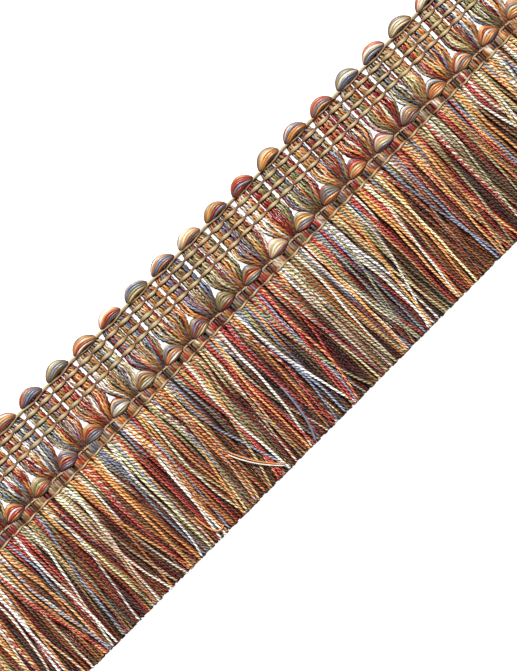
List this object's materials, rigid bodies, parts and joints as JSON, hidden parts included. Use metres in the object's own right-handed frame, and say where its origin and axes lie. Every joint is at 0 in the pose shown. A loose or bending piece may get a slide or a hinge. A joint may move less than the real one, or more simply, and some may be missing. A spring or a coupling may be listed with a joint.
{
  "type": "fringe trim",
  "caption": "Cut length of multicoloured brush fringe with a scalloped gimp heading, for edging cushions, curtains and upholstery.",
  "frame": {"origin": "middle of the trim's back, in the plane that it lies on, halfway along its length and halfway between the scallop tips and the trimmed ends of the skirt", "axes": "+X along the trim's length, +Y across it towards the scalloped edge, +Z out of its face side"},
  "size_m": [0.1872, 0.0508, 0.0023],
  "materials": {
    "gimp_yarn": "lustrous two-ply yarns in brick, amber, straw, olive, slate blue and ivory",
    "skirt_yarn": "the same lustrous two-ply yarns, cut at the foot",
    "binding_thread": "flat tan filament thread with a soft sheen"
  },
  "bodies": {
    "root": {"loop_braid": "gimp_yarn", "picot_band": "gimp_yarn", "skirt": "skirt_yarn", "warp_row_1": "binding_thread", "warp_row_2": "binding_thread", "warp_row_3": "binding_thread", "warp_row_4": "binding_thread", "warp_row_5": "binding_thread"}
  },
  "joints": []
}
